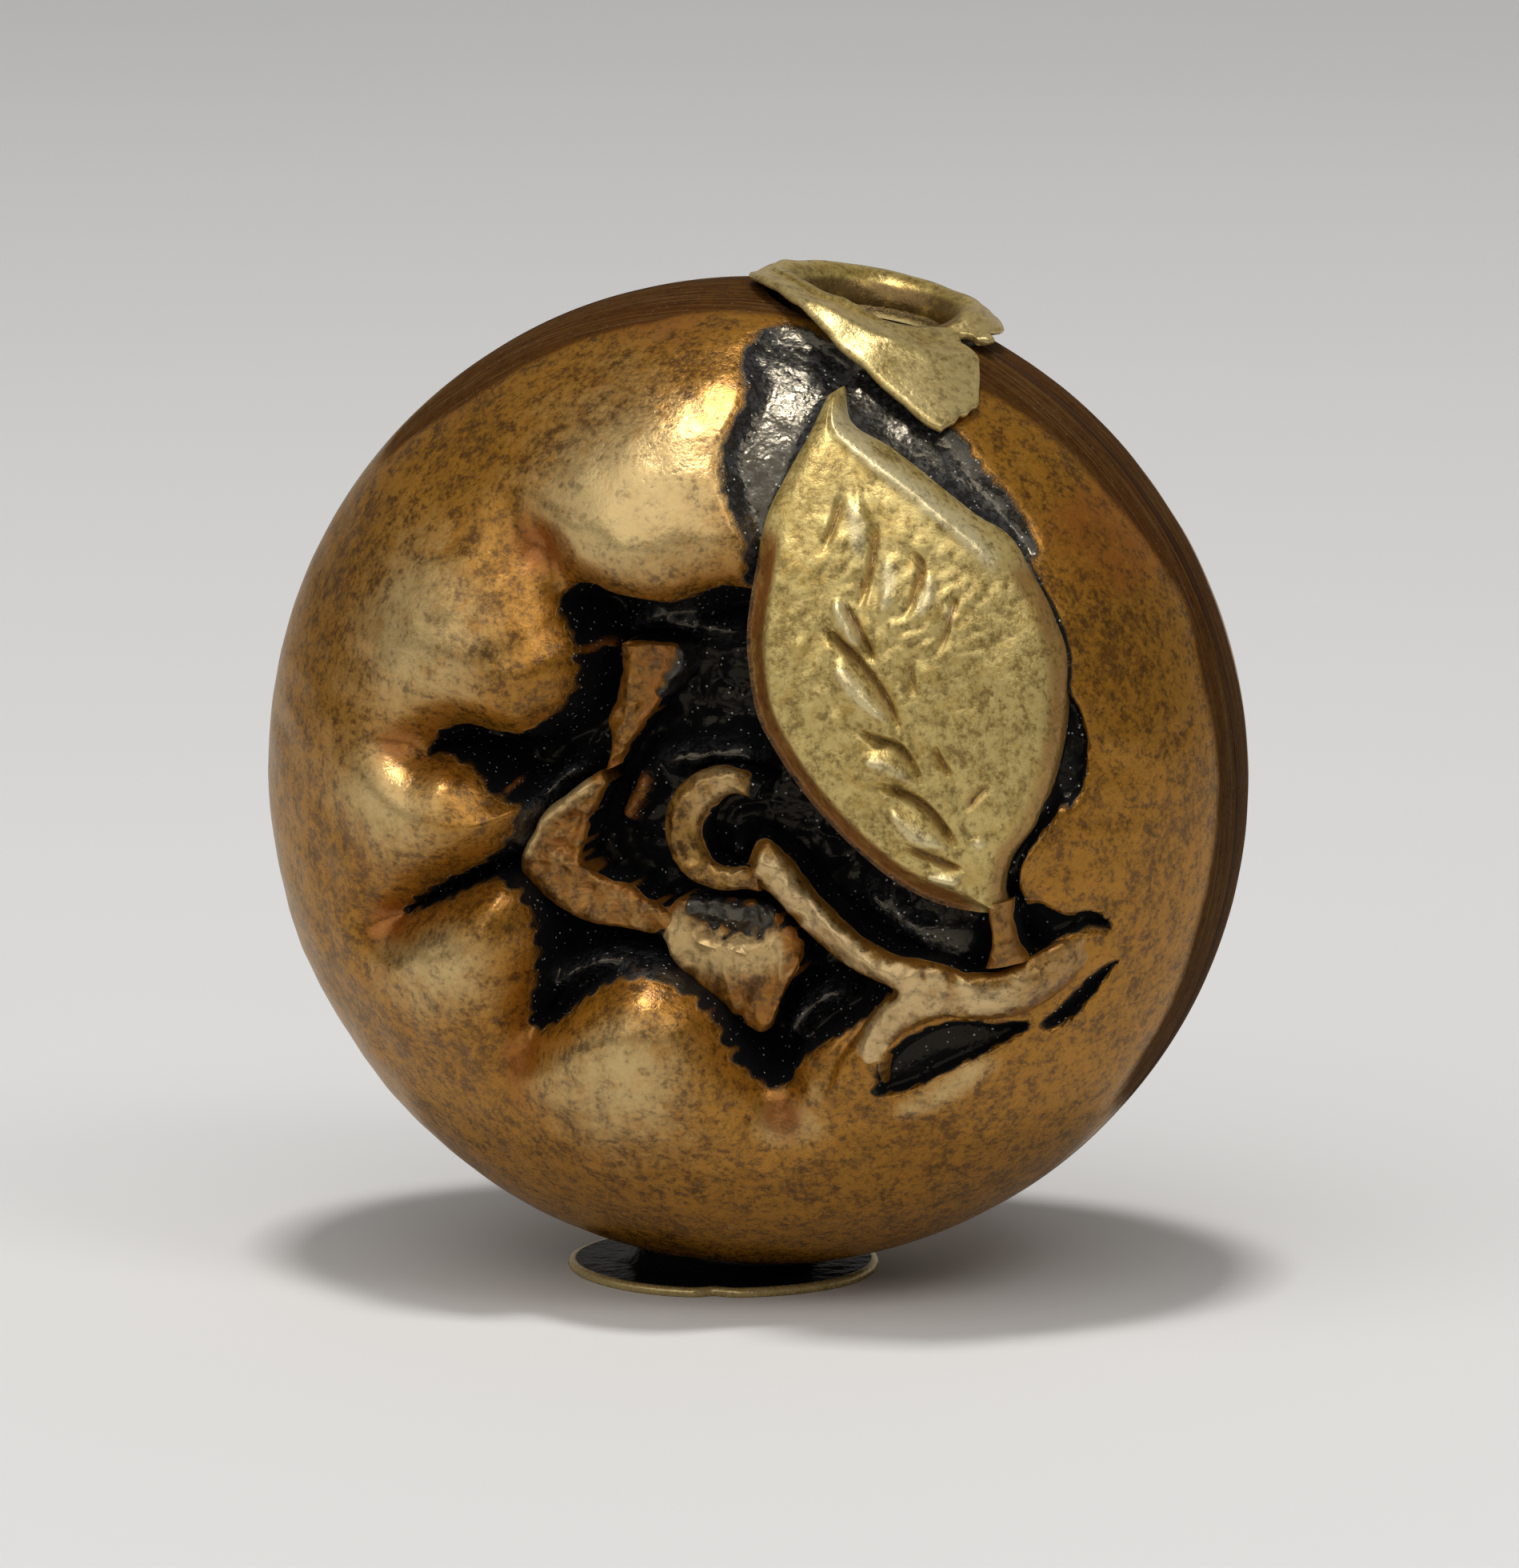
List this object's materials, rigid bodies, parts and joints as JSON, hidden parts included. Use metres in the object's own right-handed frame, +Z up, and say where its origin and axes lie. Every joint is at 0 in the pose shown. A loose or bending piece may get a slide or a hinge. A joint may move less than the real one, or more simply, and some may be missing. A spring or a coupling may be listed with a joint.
{
  "type": "ojime bead",
  "caption": "Hollow persimmon-shaped metal cord bead with a lobed face, recessed calyx, twig and applied leaf, and a lined cord hole with flared eyelets.",
  "frame": {"origin": "on the surface that the bead stands on, under the middle of its box", "axes": "+Z up from the lower cord hole to the upper one; the face with the calyx and leaf looks along -Y; +X to the right of the face"},
  "size_m": [0.0172, 0.0124, 0.0178],
  "materials": {
    "patinated_copper": "olive to orange brown patina on copper, worn to khaki on the lobes, near black in the pit",
    "seam_solder": "dark brown, filed in fine parallel lines",
    "tube_brass": "dull drawn sheet",
    "eyelet_brass": "olive brass sheet, burnished on the bends",
    "calyx_copper": "orange brown patina with pinkish worn edges",
    "twig_copper": "tan brown patina, worn pinkish along the crest",
    "leaf_brass": "olive brass with engraved veins, mottled green brown"
  },
  "bodies": {
    "root": {"front_shell": "patinated_copper", "back_shell": "patinated_copper", "seam_solder_right": "seam_solder", "seam_solder_left": "seam_solder", "cord_tube": "tube_brass", "upper_eyelet": "eyelet_brass", "lower_eyelet": "eyelet_brass", "calyx_sepal_upper": "calyx_copper", "calyx_sepal_left": "calyx_copper", "calyx_sepal_lower": "calyx_copper", "stalk_ring": "twig_copper", "twig": "twig_copper", "leaf_stalk": "twig_copper", "leaf_blade": "leaf_brass"}
  },
  "joints": []
}
